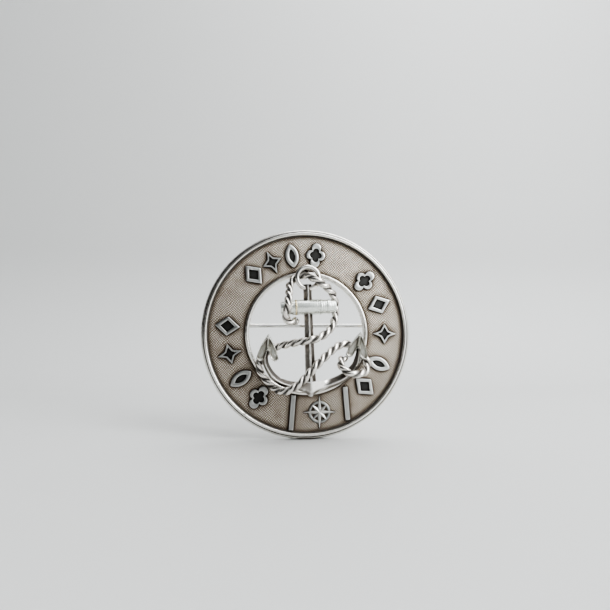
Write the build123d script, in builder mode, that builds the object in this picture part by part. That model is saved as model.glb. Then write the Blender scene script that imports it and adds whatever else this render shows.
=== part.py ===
"""Round openwork silver badge: a bordered ring with a fouled anchor, worn by a pin on its back.

Millimetres.  +Z is up, the decorated face looks toward -Y, and the origin is the
centre of the ring on the flat back land of the outer rim (the plane y = 0).
"""
from math import cos, radians, sin, tan
import os

from build123d import *

os.makedirs("parts", exist_ok=True)

# ---------------------------------------------------------------- driving dimensions
# Ring
badge_radius = 27.5
outer_rim_width = 1.7
rim_height = 2.3
rim_bead_radius = 0.5
rim_shoulder_drop = 0.45
rim_edge_chamfer = 0.3
plate_thickness = 0.9
plate_recess = 0.5
opening_radius = 15.0
inner_rim_width = 1.2
inner_rim_height = 0.8

# Raised border ornaments
ornament_height = 0.55
ornament_length = 6.4
ornament_stroke = 0.95
ornament_slot_depth = 0.35
ornament_shift = -0.3
lozenge_width = 5.0
leaf_width = 3.4
star_width = 5.4
quatrefoil_width = 5.0

# Compass panel at the foot of the ring
panel_bar_width = 1.3
panel_bar_lean = 4.5
panel_bar_spacing = 14.2
panel_bar_gap = 0.25
panel_centre_x = 3.3
compass_radius = 4.3
compass_shift = 0.45
compass_short_share = 0.62
compass_valley_share = 0.28
compass_ring_radius = 2.9
compass_ring_stroke = 0.8

# Fouled anchor
anchor_tilt = 2.0
anchor_standoff = 3.05
arm_depth = 1.7
shank_length = 23.7
shank_width_foot = 3.0
shank_width_head = 2.3
shank_depth_foot = 2.7
shank_depth_head = 2.2
fluke_length = 7.0
fluke_width = 5.7
fluke_notch = 0.4
fluke_thickness = 0.9
stock_length = 14.2
stock_middle_radius = 2.0
stock_end_radius = 1.5
stock_height = 17.85
collar_height = 0.18
ring_outer_diameter = 6.8
ring_wire = 1.1
rope_diameter = 2.0
rope_corner_share = 0.45
crown_post_radius = 0.6
head_post_share = 0.9

# Pin and findings on the back
pin_radius = 0.55
pin_height = 2.0
pin_standoff = 2.7
pin_root_length = 1.4
pin_root_thinning = 0.1
pin_tip_radius = 0.12
pin_tip_overhang = 0.9
pin_taper_lead = 1.6
hinge_x = -20.4
catch_x = 20.4
finding_base = 4.6
finding_base_thickness = 0.5
finding_base_corner = 0.6
ear_thickness = 0.5
eye_wall = 0.15
barrel_radius = 0.95
rivet_radius = 0.4
rivet_head_radius = 0.75
rivet_head_thickness = 0.3
cheek_thickness = 0.6
roller_length = 1.4
roller_radius = 1.5
journal_radius = 1.2
cheek_wall = 0.6
cheek_foot_share = 0.75
catch_slot = 1.3
lever_length = 2.9
lever_thickness = 0.8
lever_corner = 0.2
lever_angle = 70.0

# Clearances
running_clearance = 0.05
side_clearance = 0.08

# ---------------------------------------------------------------- sizes that follow
field_radius = badge_radius - outer_rim_width
plate_back = -plate_recess
plate_front = plate_back - plate_thickness
inner_rim_outer = opening_radius + inner_rim_width
ornament_radius = (inner_rim_outer + field_radius) / 2 + ornament_shift
anchor_back = plate_front - anchor_standoff
anchor_middle = anchor_back - arm_depth / 2
pin_y = plate_back + pin_standoff
anchor_plane = Plane(
    origin=(0.62, anchor_middle, -11.24),
    x_dir=(cos(radians(anchor_tilt)), 0, sin(radians(anchor_tilt))),
    z_dir=(0, -1, 0),
)


def save(part, name):
    """Label one finished piece and write it to its own file."""
    part.label = name
    export_step(part, f"parts/{name}.step")


def field_plane(angle, radius):
    """Plane on the field: angle clockwise from the top, local y pointing away from the centre."""
    turn = radians(angle)
    return Plane(
        origin=(radius * sin(turn), plate_front, radius * cos(turn)),
        x_dir=(cos(turn), 0, -sin(turn)),
        z_dir=(0, -1, 0),
    )


def anchor_point(across, up):
    """World x and z of a point given in the anchor's own plane."""
    point = anchor_plane.from_local_coords(Vector(across, up, 0))
    return point.X, point.Z


# ---------------------------------------------------------------- ring
# Flat annular plate that carries the border.
with BuildPart() as ring_plate:
    with BuildSketch(Plane.XZ.offset(-plate_back)):
        Circle(field_radius)
        Circle(opening_radius, mode=Mode.SUBTRACT)
    extrude(amount=plate_thickness)
save(ring_plate.part, "ring_plate")

# Heavy rim: a bead inside, a shoulder falling to the edge, a flat land behind.
with BuildPart() as outer_rim:
    with BuildSketch(Plane.XY):
        with BuildLine():
            bead_foot = (field_radius, -rim_height + rim_bead_radius)
            bead_top = (field_radius + rim_bead_radius, -rim_height)
            shoulder = (field_radius + 2 * rim_bead_radius, -rim_height + rim_shoulder_drop)
            edge_front = (badge_radius, -rim_height / 2)
            edge_middle = (badge_radius - 0.25, -rim_height + 0.75)
            edge_back = (badge_radius, -rim_edge_chamfer)
            land_edge = (badge_radius - rim_edge_chamfer, 0)
            Line((field_radius, 0), bead_foot)
            ThreePointArc(bead_foot, bead_top, shoulder)
            ThreePointArc(shoulder, edge_middle, edge_front)
            Line(edge_front, edge_back)
            Line(edge_back, land_edge)
            Line(land_edge, (field_radius, 0))
        make_face()
    revolve(axis=Axis.Y)
save(outer_rim.part, "outer_rim")

# Half-round wire soldered round the opening.
with BuildPart() as inner_rim:
    with BuildSketch(Plane.XY):
        with BuildLine():
            wire_in = (opening_radius, plate_front)
            wire_out = (inner_rim_outer, plate_front)
            wire_top = (opening_radius + inner_rim_width / 2, plate_front - inner_rim_height)
            ThreePointArc(wire_in, wire_top, wire_out)
            Line(wire_out, wire_in)
        make_face()
    revolve(axis=Axis.Y)
save(inner_rim.part, "inner_rim")


# ---------------------------------------------------------------- border ornaments
def lozenge(width, length):
    """Upright diamond."""
    Polygon((0, length / 2), (width / 2, 0), (0, -length / 2), (-width / 2, 0))


def leaf(width, length):
    """Pointed oval with both tips on the long axis."""
    with BuildLine() as outline:
        ThreePointArc((0, -length / 2), (width / 2, 0), (0, length / 2))
        ThreePointArc((0, length / 2), (-width / 2, 0), (0, -length / 2))
    make_face(outline.edges())


def star(width, length):
    """Four-pointed star with hollow sides."""
    waist = width / 7
    with BuildLine() as outline:
        Polyline(
            (0, length / 2), (waist, waist * 1.4), (width / 2, 0), (waist, -waist * 1.4),
            (0, -length / 2), (-waist, -waist * 1.4), (-width / 2, 0), (-waist, waist * 1.4),
            close=True,
        )
    make_face(outline.edges())


def quatrefoil(width, length):
    """Four overlapping lobes, taller than wide."""
    lobe = width / 4
    with Locations((0, length / 2 - lobe), (0, lobe - length / 2), (lobe, 0), (-lobe, 0)):
        Circle(lobe)
    Rectangle(lobe * 1.6, length - 2 * lobe)


motifs = {
    "lozenge": (lozenge, lozenge_width),
    "leaf": (leaf, leaf_width),
    "star": (star, star_width),
    "quatrefoil": (quatrefoil, quatrefoil_width),
}
border = [
    (-143.0, "quatrefoil"), (-124.5, "leaf"), (-105.0, "star"), (-85.0, "lozenge"),
    (-42.5, "lozenge"), (-26.3, "star"), (-11.0, "leaf"), (6.5, "quatrefoil"),
    (48.0, "quatrefoil"), (68.5, "lozenge"), (90.5, "star"), (113.0, "leaf"), (132.5, "lozenge"),
]
for number, (angle, motif) in enumerate(border, start=1):
    draw, motif_width = motifs[motif]
    ornament_plane = field_plane(angle, ornament_radius)
    with BuildPart() as ornament:
        with BuildSketch(ornament_plane):
            draw(motif_width, ornament_length)
        extrude(amount=ornament_height)
        with BuildSketch(ornament_plane.offset(ornament_height)):
            draw(motif_width - 2 * ornament_stroke, ornament_length - 3 * ornament_stroke)
        extrude(amount=-ornament_slot_depth, mode=Mode.SUBTRACT)
    save(ornament.part, f"border_{motif}_{number:02d}")

# ---------------------------------------------------------------- compass panel
# Two leaning bars close the panel; each runs from the inner rim to the outer rim.
bar_reach = 1.6
rim_flank = 8.6
for side, name in ((-1, "panel_bar_left"), (1, "panel_bar_right")):
    bar_x = panel_centre_x + side * panel_bar_spacing / 2
    bar_bottom = -(field_radius**2 - (abs(bar_x) + bar_reach) ** 2) ** 0.5 + panel_bar_gap / 2
    bar_top = -((inner_rim_outer + panel_bar_gap) ** 2 - min(abs(bar_x), rim_flank) ** 2) ** 0.5
    bar_length = bar_top - bar_bottom
    bar_plane = Plane(
        origin=(bar_x, plate_front, (bar_top + bar_bottom) / 2),
        x_dir=(cos(radians(panel_bar_lean)), 0, side * sin(radians(panel_bar_lean))),
        z_dir=(0, -1, 0),
    )
    with BuildPart() as panel_bar:
        with BuildSketch(bar_plane):
            Rectangle(panel_bar_width, bar_length)
        extrude(amount=ornament_height)
    save(panel_bar.part, name)

compass_centre_z = -(inner_rim_outer + field_radius) / 2 + compass_shift
compass_plane = Plane(
    origin=(panel_centre_x, plate_front, compass_centre_z), x_dir=(1, 0, 0), z_dir=(0, -1, 0)
)
with BuildPart() as compass_ring:
    with BuildSketch(compass_plane):
        Circle(compass_ring_radius)
        Circle(compass_ring_radius - compass_ring_stroke, mode=Mode.SUBTRACT)
    extrude(amount=ornament_height / 2)
save(compass_ring.part, "compass_ring")

# Eight-pointed star let down over the ring: four long points and four short ones.
star_points = []
for step in range(16):
    share = compass_valley_share if step % 2 else (compass_short_share if step % 4 else 1)
    reach = compass_radius * share
    star_points.append((reach * sin(radians(step * 22.5)), reach * cos(radians(step * 22.5))))
with BuildPart() as compass_star:
    with BuildSketch(compass_plane):
        with BuildLine():
            Polyline(*star_points, close=True)
        make_face()
    extrude(amount=ornament_height)
    add(compass_ring.part, mode=Mode.SUBTRACT)
save(compass_star.part, "compass_star")

# ---------------------------------------------------------------- anchor
# Crescent arms with a pointed crown, cast in one piece.
with BuildPart() as anchor_arms:
    with BuildSketch(anchor_plane.offset(-arm_depth / 2)):
        with BuildLine():
            Spline((-12.0, 5.3), (-11.6, 2.9), (-10.0, 0.1), (-7.4, -1.9), (-3.4, -3.1))
            Polyline((-3.4, -3.1), (-1.6, -3.6), (0, -4.8), (1.6, -3.7), (3.2, -3.3))
            Spline((3.2, -3.3), (7.0, -2.3), (10.2, -0.5), (12.3, 2.0), (13.1, 4.7))
            Line((13.1, 4.7), (11.6, 4.9))
            Spline((11.6, 4.9), (10.7, 2.9), (8.4, 0.9), (5.0, -0.5), (1.5, -1.0))
            Line((1.5, -1.0), (-1.5, -1.0))
            Spline((-1.5, -1.0), (-5.6, -0.5), (-8.3, 0.9), (-10.0, 3.2), (-10.6, 5.4))
            Line((-10.6, 5.4), (-12.0, 5.3))
        make_face()
    extrude(amount=arm_depth)
save(anchor_arms.part, "anchor_arms")

# Tapered shank of diamond section standing on the crown.
with BuildPart() as anchor_shank:
    for height, width, depth in (
        (-1.0, shank_width_foot, shank_depth_foot),
        (shank_length, shank_width_head, shank_depth_head),
    ):
        shank_x, shank_z = anchor_point(0, height)
        section = Plane(
            origin=(shank_x, anchor_middle, shank_z),
            x_dir=anchor_plane.x_dir,
            z_dir=anchor_plane.y_dir,
        )
        with BuildSketch(section):
            Polygon((width / 2, 0), (0, depth / 2), (-width / 2, 0), (0, -depth / 2))
    loft()
save(anchor_shank.part, "anchor_shank")


# Leaf-shaped palms soldered to the ends of the arms.
def fluke(across, up, lean, name):
    """Arrowhead plate whose tip points up, slotted over the end of its arm."""
    palm_plane = anchor_plane * Location((across, up, arm_depth / -2), (0, 0, -lean))
    with BuildPart() as palm:
        with BuildSketch(palm_plane):
            with BuildLine():
                for side in (-1, 1):
                    barb = (side * fluke_width / 2, 0)
                    notch_side = (side * fluke_width * 0.16, fluke_notch / 2)
                    Line((0, fluke_notch), notch_side)
                    ThreePointArc(notch_side, (side * fluke_width * 0.36, 0.02), barb)
                    ThreePointArc(barb, (side * fluke_width * 0.34, fluke_length * 0.5), (0, fluke_length))
            make_face()
        extrude(amount=fluke_thickness)
        add(anchor_arms.part, mode=Mode.SUBTRACT)
    save(palm.part, name)
    return palm.part


left_fluke = fluke(-10.75, 4.45, 4.0, "left_fluke")
right_fluke = fluke(12.0, 4.3, 12.0, "right_fluke")

# Barrel-shaped stock with the shank let through it, and four hoops round it.
stock_x, stock_z = anchor_point(0.1, stock_height)
stock_plane = Plane(
    origin=(stock_x, anchor_middle, stock_z), x_dir=anchor_plane.x_dir, z_dir=(0, -1, 0)
)
stock_axis = Axis(stock_plane.origin, stock_plane.x_dir)
half_stock = stock_length / 2
with BuildPart() as anchor_stock:
    with BuildSketch(stock_plane):
        with BuildLine():
            end_low = (-half_stock, stock_end_radius)
            end_high = (half_stock, stock_end_radius)
            Line((-half_stock, 0), end_low)
            ThreePointArc(end_low, (0, stock_middle_radius), end_high)
            Line(end_high, (half_stock, 0))
            Line((half_stock, 0), (-half_stock, 0))
        make_face()
    revolve(axis=stock_axis)
    add(anchor_shank.part, mode=Mode.SUBTRACT)
save(anchor_stock.part, "anchor_stock")

bulge = stock_middle_radius - stock_end_radius
for name, centre, width in (
    ("stock_hoop_far_left", -5.2, 1.1),
    ("stock_hoop_left", -3.2, 0.5),
    ("stock_hoop_right", 3.2, 0.5),
    ("stock_hoop_far_right", 5.2, 1.1),
):
    hoop_radius = stock_middle_radius - bulge * (centre / half_stock) ** 2 + collar_height
    hoop_centre = stock_plane.from_local_coords(Vector(centre, 0, 0))
    with BuildPart() as hoop:
        with BuildSketch(Plane(origin=hoop_centre, z_dir=stock_plane.x_dir)):
            Circle(hoop_radius)
        extrude(amount=width / 2, both=True)
        add(anchor_stock.part, mode=Mode.SUBTRACT)
    save(hoop.part, name)

# Ring at the head: a bent wire soldered to both sides of the shank.
ring_x, ring_z = anchor_point(0.26, shank_length + 1.6)
ring_major = (ring_outer_diameter - ring_wire) / 2
with BuildPart() as anchor_ring:
    with BuildSketch(Plane.XY.offset(ring_z)):
        with Locations((ring_x + ring_major, anchor_middle)):
            Circle(ring_wire / 2)
    revolve(axis=Axis((ring_x, anchor_middle, ring_z), (0, 1, 0)))
    add(anchor_shank.part, mode=Mode.SUBTRACT)
save(anchor_ring.part, "anchor_ring")

# Posts that carry the anchor clear of the plate.
with BuildPart() as head_post:
    with BuildSketch(Plane.XZ.offset(-plate_front)):
        with Locations((ring_x, ring_z + ring_major)):
            Circle(head_post_share * ring_wire / 2)
    extrude(amount=plate_front - anchor_middle)
    add(anchor_ring.part, mode=Mode.SUBTRACT)
save(head_post.part, "head_post")

crown_x, crown_z = anchor_point(0, -4.0)
crown_post_z = min(crown_z, -(opening_radius + inner_rim_width / 3))
with BuildPart() as crown_post:
    with BuildSketch(Plane.XZ.offset(-plate_front)):
        with Locations((crown_x, crown_post_z)):
            Circle(crown_post_radius)
    extrude(amount=anchor_standoff)
    add(inner_rim.part, mode=Mode.SUBTRACT)
save(crown_post.part, "crown_post")

# ---------------------------------------------------------------- rope
# Points of the rope's middle line: x, distance in front of the plate, z.
rope_route = [
    (-2.4, 2.6, 3.6), (-3.7, 3.6, 2.7), (-5.1, 4.7, 2.9), (-5.95, 6.1, 4.3),
    (-5.3, 7.1, 6.2), (-5.2, 7.0, 8.2), (-4.9, 4.6, 10.3), (-4.7, 2.4, 12.6),
    (-3.0, 2.0, 14.6), (-0.6, 3.2, 14.9), (1.2, 5.2, 14.0), (2.9, 5.6, 12.9),
    (4.7, 4.4, 11.8), (6.3, 2.9, 10.6), (7.2, 1.7, 8.9), (7.5, 1.2, 6.6),
    (7.3, 1.7, 4.4), (6.7, 3.0, 2.7), (5.7, 4.3, 1.1), (4.2, 5.4, -0.3),
    (2.3, 6.1, -1.3), (0.3, 6.3, -1.8), (-2.2, 5.3, -2.3), (-4.7, 3.7, -2.8),
    (-7.1, 2.2, -3.3), (-9.4, 1.8, -4.1), (-11.5, 1.85, -5.8), (-12.6, 1.9, -8.2),
    (-11.8, 1.9, -10.5), (-10.2, 2.1, -12.4), (-8.5, 3.1, -14.1), (-6.4, 5.3, -14.8),
    (-4.2, 6.2, -13.9), (-2.2, 6.4, -12.4), (-0.8, 6.4, -11.0), (0.7, 6.4, -9.3),
    (2.3, 6.0, -7.6), (3.9, 5.3, -6.2), (5.5, 4.4, -4.8), (7.1, 3.3, -3.7),
    (8.9, 2.3, -2.8), (11.2, 1.8, -2.8), (13.8, 1.8, -4.5), (15.6, 1.8, -6.7),
    (15.5, 2.6, -8.9), (14.1, 4.6, -10.1), (12.0, 6.0, -10.4), (10.0, 6.2, -10.0),
    (8.4, 5.3, -8.9), (8.1, 4.1, -7.4), (9.0, 3.0, -6.3), (10.3, 1.9, -7.0),
]
rope_points = [Vector(x, plate_front - forward, z) for x, forward, z in rope_route]
rope_radii = []
for before, corner, after in zip(rope_points, rope_points[1:], rope_points[2:]):
    half_turn = radians((corner - before).get_angle(after - corner)) / 2
    shorter_run = min((corner - before).length, (after - corner).length)
    rope_radii.append(rope_corner_share * shorter_run / tan(half_turn))
with BuildPart() as rope:
    with BuildLine():
        rope_line = FilletPolyline(*rope_points, radius=rope_radii)
    with BuildSketch(Plane(origin=rope_line @ 0, z_dir=rope_line % 0)):
        Circle(rope_diameter / 2)
    sweep()
save(rope.part, "rope")

# ---------------------------------------------------------------- pin hinge
barrel_length = 2 * (pin_radius + eye_wall)
half_gap = barrel_length / 2 + side_clearance
for name, centre_x in (("hinge_base", hinge_x), ("catch_base", catch_x)):
    with BuildPart() as base:
        with BuildSketch(Plane.XZ.offset(-plate_back)):
            with Locations((centre_x, pin_height)):
                RectangleRounded(finding_base, finding_base, finding_base_corner)
        extrude(amount=-finding_base_thickness)
    save(base.part, name)

finding_face = plate_back + finding_base_thickness
for name, side in (("hinge_ear_upper", 1), ("hinge_ear_lower", -1)):
    ear_start = pin_height + (half_gap if side > 0 else -half_gap - ear_thickness)
    with BuildPart() as ear:
        with BuildSketch(Plane.XY.offset(ear_start)):
            with Locations((hinge_x, (finding_face + pin_y) / 2)):
                Rectangle(2 * barrel_radius, pin_y - finding_face)
            with Locations((hinge_x, pin_y)):
                Circle(barrel_radius)
                Circle(rivet_radius, mode=Mode.SUBTRACT)
        extrude(amount=ear_thickness)
    save(ear.part, name)

ear_outside = half_gap + ear_thickness
with BuildPart() as hinge_rivet:
    with BuildSketch(Plane.XY.offset(pin_height - ear_outside)):
        with Locations((hinge_x, pin_y)):
            Circle(rivet_radius)
    extrude(amount=2 * ear_outside)
    for head_start in (pin_height - ear_outside - rivet_head_thickness, pin_height + ear_outside):
        with BuildSketch(Plane.XY.offset(head_start)):
            with Locations((hinge_x, pin_y)):
                Circle(rivet_head_radius)
        extrude(amount=rivet_head_thickness)
save(hinge_rivet.part, "hinge_rivet")

# ---------------------------------------------------------------- pin
stem_start = hinge_x + barrel_radius + pin_root_length
stem_end = catch_x - roller_length / 2 - side_clearance - cheek_thickness - pin_taper_lead
tip_x = catch_x + roller_length / 2 + cheek_thickness + pin_tip_overhang
root_radius = pin_radius - pin_root_thinning
with BuildPart() as pin_stem:
    with BuildSketch(Plane.XY.offset(pin_height)):
        with BuildLine():
            Polyline(
                (hinge_x, pin_y), (hinge_x, pin_y + root_radius), (stem_start, pin_y + pin_radius),
                (stem_end, pin_y + pin_radius), (tip_x, pin_y + pin_tip_radius), (tip_x, pin_y),
                close=True,
            )
        make_face()
    revolve(axis=Axis((hinge_x, pin_y, pin_height), (1, 0, 0)))
    with BuildSketch(Plane.XY.offset(pin_height - barrel_length / 2)):
        with Locations((hinge_x, pin_y)):
            Circle(barrel_radius)
    extrude(amount=barrel_length)
    with BuildSketch(Plane.XY.offset(pin_height - barrel_length / 2)):
        with Locations((hinge_x, pin_y)):
            Circle(rivet_radius + running_clearance)
    extrude(amount=barrel_length, mode=Mode.SUBTRACT)
save(pin_stem.part, "pin_stem")

# ---------------------------------------------------------------- safety catch
bore_radius = journal_radius + running_clearance
cheek_radius = bore_radius + cheek_wall
roller_gap = roller_length / 2 + side_clearance
for name, cheek_x in (
    ("catch_cheek_inner", catch_x - roller_gap - cheek_thickness),
    ("catch_cheek_outer", catch_x + roller_gap),
):
    with BuildPart() as cheek:
        with BuildSketch(Plane.YZ.offset(cheek_x)):
            with Locations(((finding_face + pin_y) / 2, pin_height)):
                Rectangle(pin_y - finding_face, 2 * cheek_radius * cheek_foot_share)
            with Locations((pin_y, pin_height)):
                Circle(cheek_radius)
                Circle(bore_radius, mode=Mode.SUBTRACT)
            with Locations((pin_y + cheek_radius, pin_height)):
                Rectangle(2 * cheek_radius, catch_slot, mode=Mode.SUBTRACT)
        extrude(amount=cheek_thickness)
    save(cheek.part, name)

lever_plane = Plane(
    origin=(catch_x, pin_y, pin_height),
    x_dir=(1, 0, 0),
    z_dir=(0, cos(radians(lever_angle)), sin(radians(lever_angle))),
)
journal_length = roller_length + 2 * (side_clearance + cheek_thickness)
with BuildPart() as catch_roller:
    for length, radius in ((roller_length, roller_radius), (journal_length, journal_radius)):
        with BuildSketch(Plane.YZ.offset(catch_x - length / 2)):
            with Locations((pin_y, pin_height)):
                Circle(radius)
        extrude(amount=length)
    with BuildSketch(lever_plane):
        RectangleRounded(roller_length - lever_corner, lever_thickness, lever_corner)
    extrude(amount=lever_length)
    with BuildSketch(Plane.YZ.offset(catch_x - journal_length / 2)):
        with Locations((pin_y, pin_height)):
            Circle(catch_slot / 2)
        with Locations((pin_y + roller_radius, pin_height)):
            Rectangle(2 * roller_radius, catch_slot)
    extrude(amount=journal_length, mode=Mode.SUBTRACT)
save(catch_roller.part, "catch_roller")
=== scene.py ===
import math

import bmesh
import bpy
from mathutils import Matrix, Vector, noise


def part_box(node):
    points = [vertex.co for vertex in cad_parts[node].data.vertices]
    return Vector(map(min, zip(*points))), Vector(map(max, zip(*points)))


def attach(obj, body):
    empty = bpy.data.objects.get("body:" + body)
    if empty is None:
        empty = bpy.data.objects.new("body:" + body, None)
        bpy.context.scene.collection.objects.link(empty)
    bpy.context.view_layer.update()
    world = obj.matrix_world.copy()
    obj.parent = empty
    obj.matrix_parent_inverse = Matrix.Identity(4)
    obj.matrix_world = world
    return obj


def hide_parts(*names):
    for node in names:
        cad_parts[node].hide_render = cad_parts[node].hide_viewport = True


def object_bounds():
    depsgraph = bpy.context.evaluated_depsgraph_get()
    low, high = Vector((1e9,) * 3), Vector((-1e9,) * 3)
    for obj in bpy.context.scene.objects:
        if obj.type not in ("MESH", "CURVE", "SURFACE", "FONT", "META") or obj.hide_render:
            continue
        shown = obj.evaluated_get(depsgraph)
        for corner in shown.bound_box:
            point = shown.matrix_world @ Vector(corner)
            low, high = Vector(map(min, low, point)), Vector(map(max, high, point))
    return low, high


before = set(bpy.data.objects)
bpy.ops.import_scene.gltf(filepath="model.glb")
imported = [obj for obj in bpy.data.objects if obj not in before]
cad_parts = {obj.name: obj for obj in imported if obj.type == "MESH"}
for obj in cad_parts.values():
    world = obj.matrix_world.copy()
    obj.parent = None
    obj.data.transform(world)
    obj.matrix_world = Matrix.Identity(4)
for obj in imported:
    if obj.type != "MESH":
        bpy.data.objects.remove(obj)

cad_low, cad_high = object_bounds()
MM = 0.001

# ---------------------------------------------------------------------------- eye point
# The badge is looked at close up and almost square on, a little from its left.  The eye is
# level with its middle and aims above it, so there is more room over the badge than under it.
EYE_DISTANCE = 122.0 * MM
EYE_AZIMUTH = math.radians(-5.0)
EYE_AIM = Vector((-0.34, 0.0, 7.48)) * MM
LENS_MM = 27.03

eye = bpy.data.objects.new("eye", bpy.data.cameras.new("eye"))
bpy.context.scene.collection.objects.link(eye)
eye.data.lens = LENS_MM
eye.data.sensor_width = 36.0
eye.data.clip_start = 1 * MM
eye.data.clip_end = 5.0
eye.location = (EYE_DISTANCE * math.sin(EYE_AZIMUTH), -EYE_DISTANCE * math.cos(EYE_AZIMUTH), 0)
eye.rotation_mode = "QUATERNION"
eye.rotation_quaternion = (EYE_AIM - eye.location).to_track_quat("-Z", "Y")
bpy.context.scene.camera = eye
bpy.context.scene.view_settings.look = "AgX - High Contrast"

# ---------------------------------------------------------------------------- ring plate
# The flat ring is rolled silver sheet, pierced in the middle.  Its face is matted all over
# with a crossed punch, then dipped to darken it and rubbed back, so the grounds stay brown.
PLATE_SWELL = 0.035 * MM
MATTING_PITCH = 0.47 * MM


def grounded(value):
    """A shade of silver as a colour socket wants it."""
    return (*value, 1.0)


def wire_up(tree, kind, **inputs):
    """One shader node with its sockets set; a socket given another socket is joined to it."""
    node = tree.nodes.new(kind)
    for label, value in inputs.items():
        numbered = label[1:].isdigit()
        socket = node.inputs[int(label[1:]) if numbered else label.replace("_", " ")]
        if isinstance(value, bpy.types.NodeSocket):
            tree.links.new(value, socket)
        else:
            socket.default_value = value
    return node


def graded(tree, source, stops):
    """A ramp over a 0 to 1 source; stops are (place, grey level or colour)."""
    ramp = tree.nodes.new("ShaderNodeValToRGB")
    tree.links.new(source, ramp.inputs["Fac"])
    row = ramp.color_ramp.elements
    while len(row) < len(stops):
        row.new(0.5)
    for element, (place, level) in zip(row, stops):
        element.position = place
        element.color = (level, level, level, 1.0) if isinstance(level, float) else grounded(level)
    return ramp.outputs["Color"]


def blended(tree, share, under, over, how="MIX"):
    """Two colours laid one over the other by a share."""
    mix = tree.nodes.new("ShaderNodeMix")
    mix.data_type = "RGBA"
    mix.blend_type = how
    for socket, value in ((mix.inputs[0], share), (mix.inputs[6], under), (mix.inputs[7], over)):
        if isinstance(value, bpy.types.NodeSocket):
            tree.links.new(value, socket)
        else:
            socket.default_value = value if isinstance(value, float) else grounded(value)
    return mix.outputs[2]


def summed(tree, how, *values):
    """Arithmetic on single values."""
    node = tree.nodes.new("ShaderNodeMath")
    node.operation = how
    for socket, value in zip(node.inputs, values):
        if isinstance(value, bpy.types.NodeSocket):
            tree.links.new(value, socket)
        else:
            socket.default_value = value
    return node.outputs[0]


def cloudy(tree, place, size, detail=3.0, rough=0.55):
    """Soft noise whose lumps are about as wide as size, in metres."""
    return wire_up(
        tree, "ShaderNodeTexNoise", Vector=place, Scale=1.0 / size, Detail=detail, Roughness=rough
    ).outputs["Fac"]


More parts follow.
